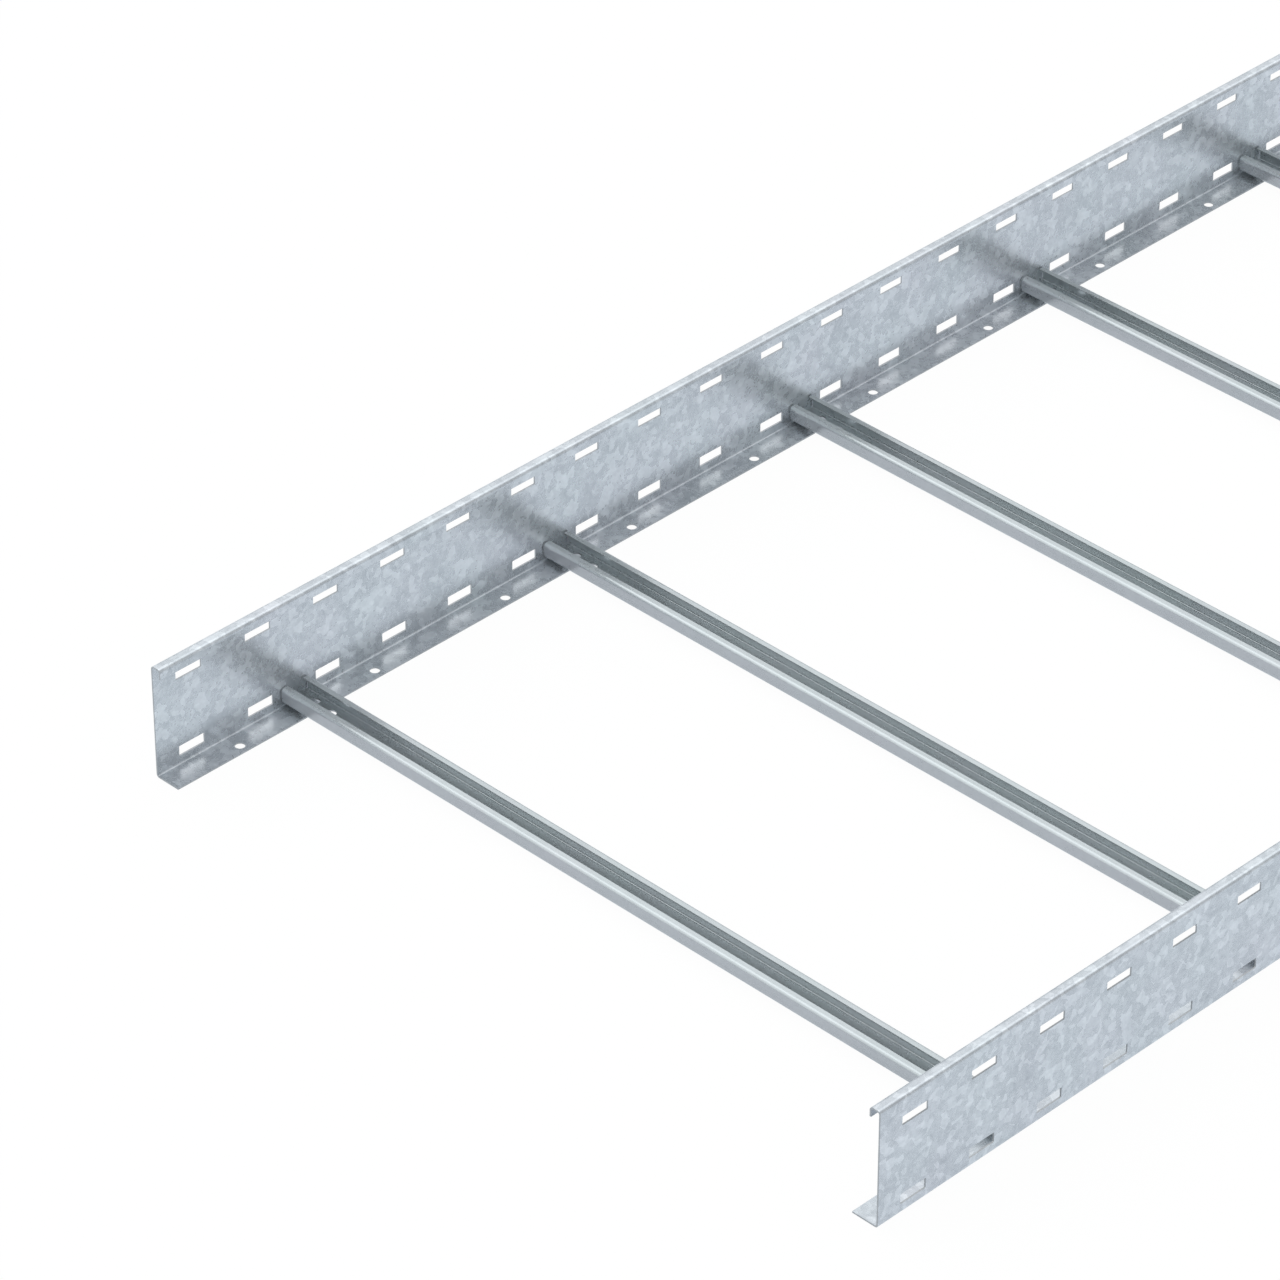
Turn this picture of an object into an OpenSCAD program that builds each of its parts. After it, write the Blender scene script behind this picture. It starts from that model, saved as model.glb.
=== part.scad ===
// Cable ladder section: two folded sheet side rails joined by ten C-profile rungs.
// Lengths are in millimetres and +Z is up. Rungs run along X and rails along Y.
// Every side rail and every rung is one folded sheet, so each is one solid.

/* [Section] */
// Width over the outer faces of the two side rails
overall_width = 800; // [200:10:1000]
// Number of rungs, which also sets the length of the rails
rung_count = 10; // [1:1:10]
// Distance from one rung to the next
rung_pitch = 300; // [250:5:400]

/* [Side rail] */
// Height of the side rail
rail_height = 110; // [80:1:160]
// Thickness of the folded sheet of the rails
rail_sheet = 1.5; // [1:0.1:2]
// Outer radius of the fold between web and bottom flange
flange_fold_r = 3; // [2:0.1:4]
// Width of the bottom flange from the outer face of the web
flange_width = 26; // [24.5:0.5:40]
// Width of the rolled top edge from the outer face of the web
hook_width = 11; // [9.5:0.5:16]
// Outer radius of the two folds of the rolled top edge
hook_fold_r = 3.5; // [3:0.1:4.7]
// Depth of the turned-down lip below the top of the rail
hook_drop = 9.5; // [5:0.5:14]

/* [Web slots] */
// Distance from one web slot to the next
slot_pitch = 75; // [50:1:100]
// Length of each web slot along the rail
slot_length = 27.5; // [10:0.5:34]
// Height of the upper slots
upper_slot_height = 8.4; // [4:0.1:14]
// Height of the centre line of the upper slots
upper_slot_z = 88.3; // [60:0.1:90]
// Height of the lower slots
lower_slot_height = 9.6; // [4:0.1:12]
// Height of the centre line of the lower slots
lower_slot_z = 13.9; // [13.6:0.1:40]
// Corner radius of the web slots
slot_corner_r = 0.8; // [0.5:0.1:1.9]

/* [Flange holes] */
// Diameter of the round fixing holes in the bottom flange
hole_d = 9; // [4:0.5:11]
// Distance of the fixing holes from the outer face of the web
hole_inset = 17.3; // [15.5:0.1:18]
// Distance from one fixing hole to the next
hole_pitch = 150; // [140:5:200]

/* [Rung] */
// Width of the rung across its two side walls
rung_width = 30; // [28:0.5:45]
// Height of the rung from its base to its lips
rung_height = 14.5; // [12:0.5:30]
// Height of the underside of the rung above the underside of the rail
rung_z = 5.5; // [3:0.5:20]
// Thickness of the folded sheet of the rungs
rung_sheet = 1.5; // [1:0.1:2]
// Outer radius of the four folds of the rung
rung_fold_r = 3; // [2.1:0.1:4]
// Width of the open slot between the two lips
mouth_width = 16.5; // [8:0.5:17.5]
// Clear gap between the web and the walls and lips of the rung
end_gap = 1.2; // [0.5:0.1:3]
// Distance of the outer base slot from the outer face of the rail
outer_slot_x = 20.5; // [14:0.5:24]
// Length of the outer base slot across the rung
outer_slot_length = 19.5; // [9.5:0.5:19.5]
// Distance of the inner base slot from the outer face of the rail
inner_slot_x = 42.5; // [40:0.5:60]
// Length of the inner base slot across the rung
inner_slot_length = 15; // [9.5:0.5:19.5]
// Width of both base slots
base_slot_width = 8.5; // [4:0.5:9]

/* [Hidden] */
$fn = 48;
half_width = overall_width / 2;
section_length = rung_count * rung_pitch;
half_length = section_length / 2;
rung_span = overall_width - 2 * rail_sheet;
slot_count = floor(section_length / slot_pitch);
hole_count = floor(section_length / hole_pitch);
lip_width = (rung_width - mouth_width) / 2;

// Centre line of rung number n, counted from 1 at the -Y end
function rung_y(n) = (n - 0.5) * rung_pitch - half_length;

// Name of rung number n
function rung_name(n) = str("rung_", n < 10 ? "0" : "", n);

// A quarter ring of folded sheet. Its centre is the origin and it fills the quadrant -X, -Y.
module fold(outer_r, sheet) {
    difference() {
        circle(r = outer_r);
        circle(r = outer_r - sheet);
        translate([0, -outer_r - 1]) square([outer_r + 1, 2 * outer_r + 2]);
        translate([-outer_r - 1, 0]) square([2 * outer_r + 2, outer_r + 1]);
    }
}

// Rail section: first axis inwards from the outer face, second axis up
module rail_section() {
    lip_x = hook_width - rail_sheet;
    // web
    translate([0, flange_fold_r]) square([rail_sheet, rail_height - hook_fold_r - flange_fold_r]);
    // bottom flange
    translate([flange_fold_r, flange_fold_r]) fold(flange_fold_r, rail_sheet);
    translate([flange_fold_r, 0]) square([flange_width - flange_fold_r, rail_sheet]);
    // rolled top edge
    translate([hook_fold_r, rail_height - hook_fold_r]) mirror([0, 1]) fold(hook_fold_r, rail_sheet);
    translate([hook_fold_r, rail_height - rail_sheet]) square([hook_width - 2 * hook_fold_r, rail_sheet]);
    translate([hook_width - hook_fold_r, rail_height - hook_fold_r])
        rotate(180) fold(hook_fold_r, rail_sheet);
    translate([lip_x, rail_height - hook_drop]) square([rail_sheet, hook_drop - hook_fold_r]);
}

// Rectangle with rounded corners, centred on the origin
module rounded_rectangle(length, height, corner_r) {
    square([length - 2 * corner_r, height], center = true);
    square([length, height - 2 * corner_r], center = true);
    for (sx = [-1, 1], sy = [-1, 1])
        translate([sx * (length / 2 - corner_r), sy * (height / 2 - corner_r)]) circle(r = corner_r);
}

// Slot with round ends along the first axis, centred on the origin
module round_slot(length, width) {
    square([length - width, width], center = true);
    for (s = [-1, 1]) translate([s * (length - width) / 2, 0]) circle(d = width);
}

// Cutters for one row of web slots, standing through the web of the left rail
module web_slots(z, height) {
    first = -(slot_count - 1) / 2 * slot_pitch;
    for (i = [0:slot_count - 1])
        translate([-half_width - 1, first + i * slot_pitch, z]) rotate([90, 0, 90])
            linear_extrude(rail_sheet + 2) rounded_rectangle(slot_length, height, slot_corner_r);
}

// Cutters for the round fixing holes in the bottom flange of the left rail
module flange_holes() {
    first = -(hole_count - 1) / 2 * hole_pitch;
    for (i = [0:hole_count - 1])
        translate([-half_width + hole_inset, first + i * hole_pitch, -1])
            cylinder(d = hole_d, h = rail_sheet + 2);
}

// Side rail on the -X side, with its flange and rolled edge turned inwards
module side_rail_left() {
    color([0.72, 0.75, 0.78]) difference() {
        translate([-half_width, half_length, 0]) rotate([90, 0, 0])
            linear_extrude(section_length) rail_section();
        web_slots(upper_slot_z, upper_slot_height);
        web_slots(lower_slot_z, lower_slot_height);
        flange_holes();
    }
}

// Side rail on the +X side, the mirror image of the left one
module side_rail_right() {
    color([0.72, 0.75, 0.78]) mirror([1, 0, 0]) side_rail_left();
}

// One side of the rung section without the base: first axis across the rung, second axis up
module rung_side() {
    side = rung_width / 2;
    translate([-side + rung_fold_r, rung_fold_r]) fold(rung_fold_r, rung_sheet);
    translate([-side, rung_fold_r]) square([rung_sheet, rung_height - 2 * rung_fold_r]);
    translate([-side + rung_fold_r, rung_height - rung_fold_r])
        mirror([0, 1]) fold(rung_fold_r, rung_sheet);
    translate([-side + rung_fold_r, rung_height - rung_sheet])
        square([lip_width - rung_fold_r, rung_sheet]);
}

// Base of the rung section
module rung_base() {
    translate([-rung_width / 2 + rung_fold_r, 0]) square([rung_width - 2 * rung_fold_r, rung_sheet]);
}

// Whole rung section, with its base, walls and lips
module rung_section() {
    rung_base();
    rung_side();
    mirror([1, 0]) rung_side();
}

// A section drawn out along the rung to the given length
module along_rung(length) {
    translate([-length / 2, 0, 0]) rotate([90, 0, 90]) linear_extrude(length) children();
}

// Cutters for the two slots across the base near each end of a rung
module base_slots() {
    for (s = [-1, 1]) {
        translate([s * (half_width - outer_slot_x), 0, -1]) rotate(90)
            linear_extrude(rung_sheet + 2) round_slot(outer_slot_length, base_slot_width);
        translate([s * (half_width - inner_slot_x), 0, -1]) rotate(90)
            linear_extrude(rung_sheet + 2) round_slot(inner_slot_length, base_slot_width);
    }
}

// One rung, open side up. Its base stands on the webs of both rails, and its sides end just short of them.
module rung(n) {
    color([0.75, 0.78, 0.8]) translate([0, rung_y(n), rung_z]) difference() {
        union() {
            along_rung(rung_span) rung_base();
            along_rung(rung_span - 2 * end_gap) rung_section();
        }
        base_slots();
    }
}

// Node to build on its own, or all of them

side_rail_left();
side_rail_right();
for (n = [1:rung_count])
    rung(n);
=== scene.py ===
"""Cable ladder section: galvanised finish of the rails and rungs, studio floor, light and camera."""

import math

import bpy
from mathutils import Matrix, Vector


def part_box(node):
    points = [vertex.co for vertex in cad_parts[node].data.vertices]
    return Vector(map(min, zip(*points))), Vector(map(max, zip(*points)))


# Sizes of the sheet metal that the frame's boxes don't give, in metres
MM = 0.001
SHEET = 1.5 * MM
FLANGE_FOLD_ZONE = 6 * MM
ROLLED_EDGE_ZONE = 12 * MM
CLEAR_OF_FLANGE_FOLD = 4 * MM
SLACK = 0.05 * MM

# Colours of the finishes, and factors that shift them
RAIL_ZINC_DARK = (0.40, 0.43, 0.465)
RAIL_ZINC_PALE = (0.745, 0.78, 0.815)
RUNG_ZINC_DARK = (0.48, 0.515, 0.53)
RUNG_ZINC_PALE = (0.60, 0.64, 0.655)
# Bare steel of cut edges, also used as painted shade on the rails' slot faces and under their rolled edges
BARE_STEEL_AND_SHADE_DARK = (0.33, 0.345, 0.36)
BARE_STEEL_AND_SHADE_PALE = (0.46, 0.475, 0.49)
GREENISH_HUE = (0.98, 1.01, 1.00)
VIOLET_HUE = (1.015, 0.992, 1.008)
UNCHANGED = (1, 1, 1)
# Painted shade: factor that darkens the two outer walls of each rung
PAINTED_WALL_SHADE = (0.82, 0.79, 0.80)

# Grain sizes in metres, and how often a soft pattern repeats in one metre
RAIL_CRYSTAL = 7 * MM
RAIL_FLAKE = 0.4 * RAIL_CRYSTAL
RUNG_GRAIN = 4 * MM
RAIL_GROUND_PER_METRE = 0.8 / RAIL_CRYSTAL
RUNG_GROUND_PER_METRE = 150
CLOUDS_PER_METRE = 25
HUES_PER_METRE = 17
RIPPLES_PER_METRE = 110
RAIL_LINES_PER_METRE = (250, 8, 250)
RUNG_LINES_PER_METRE = (1.5, 270, 270)

# Studio
FLOOR_HALF_SIDE = 30.0
FLOOR_WHITE = (0.9, 0.9, 0.9, 1)
FLOOR_SEEN_IN_METAL = (0.885, 0.945, 1.005)
FLOOR_GLOW_IN_METAL = 0.90
FLOOR_GLOW_IN_CAMERA = 0.96
WALL_COLOUR = (0.98, 1.0, 1.01, 1)
PURE_WHITE = (1, 1, 1)

# Camera
FRAME_WIDTH_MM = 36
LENS_MM = 182.64
CAMERA_PLACE = (2.8764, -4.2191, 3.0955)
CAMERA_TURN_DEGREES = (55.065, 0.066, 45)
CAMERA_REACH = 100


# Shader maths -------------------------------------------------------------------------------


class Value:
    """One output socket of a node tree, so that maths on it reads as an expression."""

    def __init__(self, graph, socket):
        self.graph = graph
        self.socket = socket

    def _math(self, operation, first, second):
        return self.graph.maths(operation, first, second)

    def __add__(self, other):
        return self._math("ADD", self, other)

    def __radd__(self, other):
        return self._math("ADD", other, self)

    def __sub__(self, other):
        return self._math("SUBTRACT", self, other)

    def __rsub__(self, other):
        return self._math("SUBTRACT", other, self)

    def __mul__(self, other):
        return self._math("MULTIPLY", self, other)

    def __rmul__(self, other):
        return self._math("MULTIPLY", other, self)

    def __truediv__(self, other):
        return self._math("DIVIDE", self, other)


class Graph:
    """A node tree with one method that adds its nodes, and short names for the ones used most."""

    def __init__(self, tree):
        self.tree = tree
        tree.nodes.clear()

    def node(self, kind, settings=None, sockets=None, output=0):
        """Adds a node: its settings first, then the values or links of its input sockets."""
        made = self.tree.nodes.new(kind)
        for name, setting in (settings or {}).items():
            setattr(made, name, setting)
        for key, given in (sockets or {}).items():
            if isinstance(given, Value):
                self.tree.links.new(given.socket, made.inputs[key])
            else:
                made.inputs[key].default_value = given
        return Value(self, made.outputs[output]) if made.outputs else made

    def maths(self, operation, first, second=0.0):
        return self.node("ShaderNodeMath", {"operation": operation}, {0: first, 1: second})

    def vector(self, operation, first, second):
        return self.node("ShaderNodeVectorMath", {"operation": operation}, {0: first, 1: second})

    def scaled(self, vector, factor):
        """Vector with all its axes multiplied by one factor."""
        return self.node("ShaderNodeVectorMath", {"operation": "SCALE"}, {0: vector, "Scale": factor})

    def object_position(self):
        """Position on the piece in metres."""
        return self.node("ShaderNodeTexCoord", output="Object")

    def object_normal(self):
        """Direction that the surface faces, in the piece's own axes."""
        return self.node("ShaderNodeTexCoord", output="Normal")

    def axes(self, vector):
        """The three numbers of a vector."""
        split = {"Vector": vector}
        return [self.node("ShaderNodeSeparateXYZ", {}, split, output=axis) for axis in "XYZ"]

    def size_of(self, value):
        return self.maths("ABSOLUTE", value)

    def above(self, value, limit):
        """1 where the value is over the limit, and 0 elsewhere."""
        return self.maths("GREATER_THAN", value, limit)

    def below(self, value, limit):
        """1 where the value is under the limit, and 0 elsewhere."""
        return self.maths("LESS_THAN", value, limit)

    def either(self, first, *others):
        """1 where any of the masks is 1."""
        result = first
        for mask in others:
            result = self.maths("MAXIMUM", result, mask)
        return result

    def stretched(self, position, scale):
        """Position with each axis multiplied by its own scale."""
        return self.node("ShaderNodeMapping", {}, {"Vector": position, "Scale": scale})

    def noise(self, position, scale, detail, roughness=0.5, output="Fac"):
        sockets = {"Vector": position, "Scale": scale, "Detail": detail, "Roughness": roughness}
        return self.node("ShaderNodeTexNoise", {}, sockets, output)

    def tint(self, mask, low, high):
        """Colour that runs from low where the mask is 0 to high where it is 1."""
        return self.between(mask, (*low, 1), (*high, 1))

    def between(self, mask, first, second):
        """The first colour where the mask is 0 and the second where it is 1."""
        sockets = {"Factor": mask, 6: first, 7: second}
        return self.node("ShaderNodeMix", {"data_type": "RGBA"}, sockets, output=2)

    def mixed_shaders(self, share, first, second):
        """The first shader where the share is 0 and the second where it is 1."""
        return self.node("ShaderNodeMixShader", {}, {0: share, 1: first, 2: second})

    def surface(self, shader, output="ShaderNodeOutputMaterial"):
        self.node(output, {}, {"Surface": shader})


def new_material(name):
    material = bpy.data.materials.new(name)
    material.use_nodes = True
    return material, Graph(material.node_tree)


def layered(*layers):
    """Half grey plus each layer's departure from its own middle: (share, pattern, middle)."""
    total = 0.5
    for share, pattern, middle in layers:
        total = total + share * (pattern - middle)
    return total


# Finishes -----------------------------------------------------------------------------------


def spangle(graph, position, size):
    """Crystal grains of a zinc coating: one number from 0 to 1 for each grain, with ragged borders."""
    reach = 0.9
    wander = graph.noise(position, reach / size, 0, output="Color")
    centred = graph.vector("SUBTRACT", wander, (0.5, 0.5, 0.5))
    place = graph.vector("ADD", position, graph.scaled(centred, reach * size))
    cells = graph.node("ShaderNodeTexVoronoi", {"feature": "F1"}, {"Vector": place, "Scale": 1 / size},
                       output="Color")
    return graph.node("ShaderNodeSeparateColor", {}, {"Color": cells}, output="Red")


def rail_mottling(graph, position):
    """Zinc of a rail from 0 to 1: pale crystals on a finer ground, cloudiness and faint rolling lines."""
    grains = spangle(graph, position, RAIL_CRYSTAL)
    crystals = graph.node("ShaderNodeMapRange", {"interpolation_type": "SMOOTHSTEP"},
                          {"Value": grains, "From Min": 0.60, "From Max": 0.80})
    flakes = spangle(graph, position, RAIL_FLAKE)
    ground = graph.noise(position, RAIL_GROUND_PER_METRE, 2, 0.75)
    clouds = graph.noise(position, CLOUDS_PER_METRE, 2)
    lines = graph.noise(graph.stretched(position, RAIL_LINES_PER_METRE), 1, 1)
    return layered((0.28, crystals, 0.3), (0.16, flakes, 0.5), (0.70, ground, 0.5),
                   (0.50, clouds, 0.5), (0.12, lines, 0.5))


def rung_mottling(graph, position):
    """Zinc of a rung from 0 to 1: lengthwise rolling lines over faint grains and cloudiness."""
    lines = graph.noise(graph.stretched(position, RUNG_LINES_PER_METRE), 1, 1)
    grains = spangle(graph, position, RUNG_GRAIN)
    ground = graph.noise(position, RUNG_GROUND_PER_METRE, 1)
    clouds = graph.noise(position, CLOUDS_PER_METRE, 2)
    return layered((0.65, lines, 0.5), (0.12, grains, 0.5), (0.35, ground, 0.5), (0.45, clouds, 0.5))


def zinc_colour(graph, position, mottling, dark, pale):
    """Colour of the zinc, from dark to pale with its mottling, and with a slow change of hue."""
    hue = graph.tint(graph.noise(position, HUES_PER_METRE, 1), GREENISH_HUE, VIOLET_HUE)
    return graph.vector("MULTIPLY", graph.tint(mottling, dark, pale), hue)


def sheet_metal(graph, position, colour, mottling, edge_and_shade_mask, metal, roughness, ripple):
    """Metal of a sheet. Its cut edges are bare steel, darker and duller, and on the rails the same dark
    colour is also painted shade on the slot faces and under the rolled edge. Its faces ripple slightly.
    """
    bare_steel_and_shade = graph.tint(mottling, BARE_STEEL_AND_SHADE_DARK, BARE_STEEL_AND_SHADE_PALE)
    # Bare steel colour on cut edges, which on the rails is also painted shade
    shown = graph.between(edge_and_shade_mask, colour, bare_steel_and_shade)
    gloss = roughness + 0.08 * (mottling - 0.5) + 0.15 * edge_and_shade_mask
    waves = graph.noise(position, RIPPLES_PER_METRE, 1)
    bump = graph.node("ShaderNodeBump", {}, {"Strength": 1.0, "Distance": ripple, "Height": waves})
    graph.surface(graph.node("ShaderNodeBsdfPrincipled", {},
                             {"Base Color": shown, "Metallic": metal, "Roughness": gloss, "Normal": bump}))


def rail_finish():
    """Finish of a rail: spangled zinc, with bare steel where the sheet was cut or punched, and the same
    dark colour as painted shade on the slot faces and under the rolled edge.
    """
    material, graph = new_material("galvanised_rail")
    position = graph.object_position()
    mottling = rail_mottling(graph, position)
    colour = zinc_colour(graph, position, mottling, RAIL_ZINC_DARK, RAIL_ZINC_PALE)
    edge_and_shade_mask = rail_edges_and_painted_shade(graph, position)
    sheet_metal(graph, position, colour, mottling, edge_and_shade_mask, metal=0.72, roughness=0.28, ripple=0.10 * MM)
    return material


def rung_finish():
    """Finish of a rung, finer than that of a rail, with painted shade darkening its two outer walls in
    place of the shadowed floor they mirror.
    """
    material, graph = new_material("galvanised_rung")
    position = graph.object_position()
    mottling = rung_mottling(graph, position)
    colour = zinc_colour(graph, position, mottling, RUNG_ZINC_DARK, RUNG_ZINC_PALE)
    # Painted shade: the outer walls are darkened as if they mirrored the shadowed floor beside the rung
    wall_shade_factor = graph.tint(rung_outer_walls(graph, position), UNCHANGED, PAINTED_WALL_SHADE)
    wall_shaded_colour = graph.vector("MULTIPLY", colour, wall_shade_factor)
    edge_and_shade_mask = rung_cut_edges(graph, position)
    sheet_metal(graph, position, wall_shaded_colour, mottling, edge_and_shade_mask, metal=0.75, roughness=0.28, ripple=0.02 * MM)
    return material


def rail_edges_and_painted_shade(graph, position):
    """1 on the sheared and punched edges of a rail, partly as painted shade on the slot faces and the
    downward faces under the rolled edge, and 0 on its other sheet faces.
    """
    lowest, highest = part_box("side_rail_left")
    outer_face = -lowest.x
    web_top = highest.z - ROLLED_EDGE_ZONE
    across, _, height = graph.axes(position)
    _, facing_along, facing_up = graph.axes(graph.object_normal())
    side = graph.size_of(across)
    ends = graph.above(graph.size_of(facing_along), 0.15)
    level = graph.above(graph.size_of(facing_up), 0.5)
    web_face = graph.above(side, outer_face - SHEET - SLACK)
    in_web = web_face * graph.above(height, FLANGE_FOLD_ZONE) * graph.below(height, web_top)
    # Painted shade: the level faces of the slots are darkened along with the real bare edges
    slot_faces_and_shade = in_web * level
    inner_side = graph.below(side, outer_face - CLEAR_OF_FLANGE_FOLD)
    in_flange = graph.below(height, SHEET + 2 * SLACK) * inner_side
    flange_edges = in_flange * (1 - level)
    # Painted shade: every face pointing down under the rolled edge is darkened, the underside of the top
    # fold as well as the lip's cut edge
    lip_edge_and_underside_shade = graph.below(facing_up, -0.5) * graph.above(height, web_top)
    return graph.either(ends, slot_faces_and_shade, flange_edges, lip_edge_and_underside_shade)


def rung_outer_walls(graph, position):
    """1 on the two outer side walls of a rung, where shade is painted, and 0 elsewhere."""
    lowest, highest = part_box("rung_01")
    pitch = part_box("rung_02")[0].y - lowest.y
    half_width = (highest.y - lowest.y) / 2
    along = graph.axes(position)[1] / pitch
    from_middle = graph.size_of(graph.maths("FRACT", along) - 0.5)
    return graph.above(from_middle * pitch, half_width - 4 * SLACK)


def rung_cut_edges(graph, position):
    """1 on the sheared and punched edges of a rung and 0 on its sheet faces."""
    base_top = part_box("rung_01")[0].z + SHEET
    height = graph.axes(position)[2]
    facing_across, _, facing_up = graph.axes(graph.object_normal())
    level = graph.above(graph.size_of(facing_up), 0.3)
    ends = graph.above(graph.size_of(facing_across), 0.7)
    base_slots = graph.below(height, base_top + SLACK) * (1 - level)
    return graph.either(ends, base_slots)


def dress(frame):
    """Gives the rails and the rungs their galvanised finishes."""
    rail = rail_finish()
    rung = rung_finish()
    for name, node in frame["nodes"].items():
        finish = rail if name.startswith("side_rail") else rung
        node.data.materials.clear()
        node.data.materials.append(finish)


# Studio -------------------------------------------------------------------------------------


def glowing(graph, colour):
    return graph.node("ShaderNodeEmission", {}, {"Color": (*colour, 1), "Strength": 1.0})


def ray_kind(graph, kind):
    """1 for rays of a kind, such as Camera, Glossy or Transmission, and 0 for the rest."""
    return graph.node("ShaderNodeLightPath", output=f"Is {kind} Ray")


def floor_material():
    """White floor that keeps a faint shadow. Metal sees it slightly cooler, and darker under the rungs."""
    material, graph = new_material("pale_floor")
    shaded = graph.node("ShaderNodeBsdfDiffuse", {}, {"Color": FLOOR_WHITE})
    mirrored = ray_kind(graph, "Glossy") + ray_kind(graph, "Transmission")
    cool_glow = glowing(graph, FLOOR_SEEN_IN_METAL)
    white_glow = glowing(graph, PURE_WHITE)
    in_metal = graph.mixed_shaders(mirrored * FLOOR_GLOW_IN_METAL, shaded, cool_glow)
    in_camera = ray_kind(graph, "Camera") * FLOOR_GLOW_IN_CAMERA
    graph.surface(graph.mixed_shaders(in_camera, in_metal, white_glow))
    return material


def make_floor():
    half = FLOOR_HALF_SIDE
    corners = [(-half, -half, 0), (half, -half, 0), (half, half, 0), (-half, half, 0)]
    mesh = bpy.data.meshes.new("floor")
    mesh.from_pydata(corners, [], [(0, 1, 2, 3)])
    mesh.materials.append(floor_material())
    floor = bpy.data.objects.new("floor", mesh)
    bpy.context.scene.collection.objects.link(floor)


def glow_towards(graph, direction, aim, sharpness):
    """1 where the direction meets the aim, fading to 0 at a right angle to it."""
    length = math.sqrt(sum(part * part for part in aim))
    unit = tuple(part / length for part in aim)
    cosine = graph.node("ShaderNodeVectorMath", {"operation": "DOT_PRODUCT"}, {0: direction, 1: unit},
                        output="Value")
    return graph.maths("POWER", graph.maths("MAXIMUM", cosine, 0.0), sharpness)


def make_world():
    """White walls, brightest high on the left and at the back, dimmer at the horizon and back right."""
    world = bpy.data.worlds.new("studio")
    bpy.context.scene.world = world
    world.use_nodes = True
    graph = Graph(world.node_tree)
    direction = graph.node("ShaderNodeTexCoord", output="Generated")
    _, north, height = graph.axes(direction)
    upper_left = glow_towards(graph, direction, (-0.6, 0, 0.8), 10)
    upper_back = glow_towards(graph, direction, (0, 0.6, 0.8), 10)
    back_right = glow_towards(graph, direction, (1, 1, 1), 16)
    level = 1.0 - 0.20 * north + 0.80 * (upper_left + upper_back) - 0.51 * back_right
    horizon = graph.maths("POWER", 1 - graph.size_of(height), 8.0)
    shaded_level = level * (1 - 0.55 * horizon)
    walls = graph.node("ShaderNodeBackground", {}, {"Color": WALL_COLOUR, "Strength": shaded_level})
    white = graph.node("ShaderNodeBackground", {}, {"Color": (*PURE_WHITE, 1), "Strength": 1.0})
    mixed = graph.mixed_shaders(ray_kind(graph, "Camera"), walls, white)
    graph.surface(mixed, "ShaderNodeOutputWorld")


def make_camera():
    """Long lens from the front right, looking down at 35 degrees over the near end."""
    camera = bpy.data.cameras.new("camera")
    camera.sensor_width = FRAME_WIDTH_MM
    camera.lens = LENS_MM
    camera.clip_end = CAMERA_REACH
    holder = bpy.data.objects.new("camera", camera)
    holder.location = CAMERA_PLACE
    holder.rotation_euler = [math.radians(angle) for angle in CAMERA_TURN_DEGREES]
    bpy.context.scene.collection.objects.link(holder)
    bpy.context.scene.camera = holder


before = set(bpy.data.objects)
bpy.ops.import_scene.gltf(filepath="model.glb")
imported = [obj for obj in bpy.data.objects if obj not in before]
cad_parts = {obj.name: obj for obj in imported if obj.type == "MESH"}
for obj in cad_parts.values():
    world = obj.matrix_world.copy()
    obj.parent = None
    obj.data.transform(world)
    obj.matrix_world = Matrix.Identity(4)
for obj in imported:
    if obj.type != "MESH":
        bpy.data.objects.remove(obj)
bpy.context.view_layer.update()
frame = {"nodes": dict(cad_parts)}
bpy.context.scene.view_settings.view_transform = "Standard"
dress(frame)
make_floor()
make_world()
make_camera()
